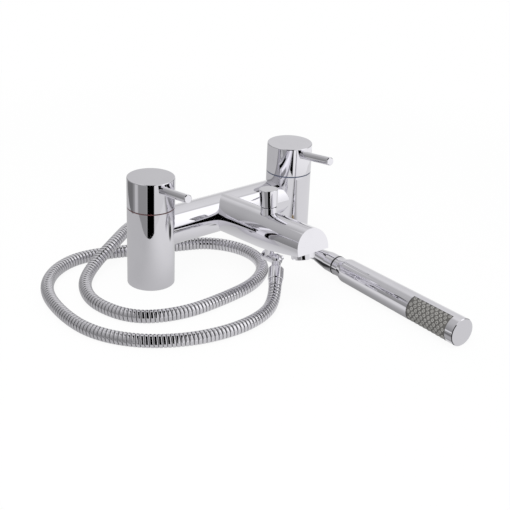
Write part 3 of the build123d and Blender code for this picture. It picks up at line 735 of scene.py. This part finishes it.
@dataclass
class Studio:
    """Deck, lamp and room round the mixer."""

    reflectance: float = 0.82
    display_power: float = 2.2
    deck_size: float = 3.0
    deck_colour: tuple[float, float, float, float] = (0.9, 0.9, 0.9, 1.0)
    deck_fade: tuple[float, float] = (0.42, 0.75)
    deck_shade: float = 0.07
    mirror_deck_outline: tuple[tuple[float, float], ...] = (
        (-0.17, -0.13), (-0.12, -0.185), (-0.05, -0.22), (0.05, -0.23), (0.15, -0.222), (0.25, -0.175),
        (0.34, -0.08), (0.385, 0.085), (0.293, 0.307), (0.07, 0.40), (-0.09, 0.31), (-0.18, 0.22),
        (-0.22, 0.17), (-0.25, 0.13), (-0.282, 0.09), (-0.305, 0.045), (-0.305, 0.005), (-0.275, -0.038),
    )
    mirror_deck_greys: tuple[float, float] = (172.0, 205.0)
    mirror_deck_slope: Place = (1.0, -1.2, 0.0)
    mirror_deck_fade: tuple[float, float] = (-0.15, 0.12)
    mirror_deck_drop: float = 1e-5
    mirror_deck_mottle: float = 0.04
    mirror_deck_mottle_scale: float = 6.0
    mirror_deck_mottle_detail: float = 2.0
    # Painted shadow on the mirrored deck: a strip beside the handset and a patch by its nut.
    handset_shade: float = 0.58
    handset_shade_x: float = 0.073
    handset_shade_fade: tuple[float, float] = (0.008, 0.05)
    handset_shade_start: tuple[float, float] = (-0.10, -0.05)
    nut_shade: float = 0.95
    nut_shade_middle: Place = (0.047, -0.068, 0.0)
    nut_shade_fade: tuple[float, float] = (0.014, 0.031)
    lamp_place: Place = (-0.5, -0.45, 1.3)
    lamp_size: float = 1.0
    lamp_watts: float = 9.0
    ambient: float = 0.78
    sky: tuple[tuple[float, float], ...] = (
        (0.0, 195.0), (0.356, 202.0), (0.389, 226.0), (0.478, 226.0), (0.522, 198.0), (0.611, 198.0),
        (0.722, 203.0), (0.833, 210.0), (1.0, 205.0),
    )

    def strength(self, grey: float) -> float:
        """The light that shows as this grey once chrome has reflected it."""
        return (grey / WHITE_GREY) ** self.display_power / self.reflectance

    def room_level(self, tree: Tree) -> Value:
        """The brightness of the room in every direction.

        Args:
            tree: the world's tree.

        Returns:
            The brightness.
        """
        direction = tree.node("ShaderNodeTexCoord").outputs["Generated"]
        parts = tree.node("ShaderNodeSeparateXYZ", {}, {0: direction})
        east, north, up = (tree.value(parts, axis) for axis in range(3))
        degree = HALF_CIRCLE / pi
        angle = tree.node("ShaderNodeMath", {"operation": "ARCTAN2"}, {0: east, 1: 0.0 - north})
        azimuth = tree.value(angle) * degree
        elevation = tree.value(tree.node("ShaderNodeMath", {"operation": "ARCSINE"}, {0: up})) * degree
        stops = [(place, self.strength(grey)) for place, grey in self.sky]
        ramp = tree.node("ShaderNodeValToRGB", {"stops": stops}, {"Fac": elevation / HALF_CIRCLE + 0.5})
        level = tree.value(ramp, "Color")
        for panel in ROOM:
            wrap = {0: azimuth - panel.azimuth, 1: HALF_CIRCLE, 2: -HALF_CIRCLE}
            aside = abs(tree.value(tree.node("ShaderNodeMath", {"operation": "WRAP"}, wrap)))
            above = abs(elevation - panel.elevation)
            width, height = panel.half_width, panel.half_height
            inside = tree.fade(aside, width - panel.edge, width + panel.edge, 1.0, 0.0)
            inside *= tree.fade(above, height - panel.rise_edge, height + panel.rise_edge, 1.0, 0.0)
            lit = self.strength(panel.grey)
            if panel.upper_grey is not None:
                foot, head = panel.elevation - height, panel.elevation + height
                lit = tree.fade(elevation, foot, head, lit, self.strength(panel.upper_grey))
            level = level + inside * (lit - level)
        strip = DarkStrip()
        return level + strip.share(tree, direction) * (self.strength(strip.grey) - level)

    def world(self) -> None:
        """White to the camera, the room to polished metal, and an even light to everything else."""
        world = bpy.data.worlds.new("studio")
        bpy.context.scene.world = world
        tree = Tree(world)
        path = tree.node("ShaderNodeLightPath")
        mirrored = tree.value(path, "Is Glossy Ray")
        seen = tree.value(path, "Is Camera Ray")
        level = mirrored * self.room_level(tree) + (1.0 - mirrored) * self.ambient
        level = seen + (1.0 - seen) * level
        background = tree.node("ShaderNodeBackground", {}, {"Color": level})
        tree.finish(background.outputs[0], "ShaderNodeOutputWorld")

    def deck(self) -> bpy.types.Object:
        """The pale deck that keeps the mixer's shadow.

        Returns:
            The deck.
        """
        half = self.deck_size / 2
        mesh = bpy.data.meshes.new("deck")
        corners = [(-half, -half, 0), (half, -half, 0), (half, half, 0), (-half, half, 0)]
        mesh.from_pydata(corners, [], [(0, 1, 2, 3)])
        deck = bpy.data.objects.new("deck", mesh)
        bpy.context.scene.collection.objects.link(deck)
        material = bpy.data.materials.new("deck_white")
        tree = Tree(material)
        reach = tree.vector("DISTANCE", tree.place(), (0.0, 0.0, 0.0))
        shade = tree.fade(reach, *self.deck_fade, self.deck_shade, 0.0)
        seen = tree.value(tree.node("ShaderNodeLightPath"), "Is Camera Ray")
        matt = tree.node("ShaderNodeBsdfDiffuse", {}, {"Color": self.deck_colour})
        white = tree.node("ShaderNodeEmission", {}, {"Strength": 1.0})
        both = tree.node(
            "ShaderNodeMixShader", {}, {0: seen * (1.0 - shade), 1: matt.outputs[0], 2: white.outputs[0]}
        )
        tree.finish(both.outputs[0])
        mesh.materials.append(material)
        deck.visible_glossy = False
        return deck

    def mirrored_deck(self) -> bpy.types.Object:
        """The near part of the deck, as polished metal reflects it, with painted shadow darkening it
        beside the handset and its nut.

        Returns:
            The plate.
        """
        mesh = bpy.data.meshes.new("mirrored_deck")
        corners = [(*corner, -self.mirror_deck_drop) for corner in self.mirror_deck_outline]
        mesh.from_pydata(corners, [], [tuple(range(len(corners)))])
        plate = bpy.data.objects.new("mirrored_deck", mesh)
        bpy.context.scene.collection.objects.link(plate)
        material = bpy.data.materials.new("mirrored_deck_grey")
        tree = Tree(material)
        slope = tree.vector("DOT_PRODUCT", tree.place(), self.mirror_deck_slope)
        low, high = (self.strength(grey) for grey in self.mirror_deck_greys)
        level = tree.fade(slope, *self.mirror_deck_fade, low, high)
        mottle = tree.noise(self.mirror_deck_mottle_scale, self.mirror_deck_mottle_detail)
        level = level + (mottle - 0.5) * self.mirror_deck_mottle
        parts = tree.node("ShaderNodeSeparateXYZ", {}, {0: tree.place()})
        # Painted shadow: darker in a strip beside the handset and in a round patch by its nut.
        beside = abs(tree.value(parts, 0) - self.handset_shade_x)
        shade = tree.fade(beside, *self.handset_shade_fade, self.handset_shade, 0.0)
        shade *= tree.fade(tree.value(parts, 1), *self.handset_shade_start, 1.0, 0.0)
        away = tree.vector("DISTANCE", tree.place(), self.nut_shade_middle)
        level = level * (1.0 - shade) * tree.fade(away, *self.nut_shade_fade, 1.0 - self.nut_shade, 1.0)
        tree.finish(tree.node("ShaderNodeEmission", {}, {"Color": level}).outputs[0])
        mesh.materials.append(material)
        plate.visible_camera = plate.visible_diffuse = plate.visible_shadow = False
        return plate

    def lamp(self) -> None:
        """One broad soft lamp, up and to the left."""
        light = bpy.data.lights.new("soft_lamp", "AREA")
        light.size = self.lamp_size
        light.energy = self.lamp_watts
        lamp = bpy.data.objects.new("soft_lamp", light)
        lamp.location = self.lamp_place
        lamp.rotation_mode = "QUATERNION"
        lamp.rotation_quaternion = (-Vector(self.lamp_place)).to_track_quat("-Z", "Y")
        lamp.visible_glossy = False
        bpy.context.scene.collection.objects.link(lamp)

    def build(self) -> None:
        """Build the whole studio."""
        self.deck()
        self.mirrored_deck()
        self.lamp()
        self.world()
        bpy.context.scene.view_settings.view_transform = "Standard"


NOZZLE_FINISH = Moulded(
    Slot.SPRAY, (0.33, 0.325, 0.31), (0.24, 0.235, 0.225), 0.35, 0.5, 300.0, 2600.0, 0.00002,
)


def main() -> None:
    """Build the scene in order."""
    logging.basicConfig(level=logging.INFO, format="%(name)s: %(message)s")
    Viewpoint().build()
    wardrobe = Wardrobe(FINISHES)
    wardrobe.dress_frame(frame["nodes"])
    Hose().build(wardrobe)
    SprayNozzles().build(wardrobe, NOZZLE_FINISH.material())
    Studio().build()


if __name__ == "__main__":
    main()
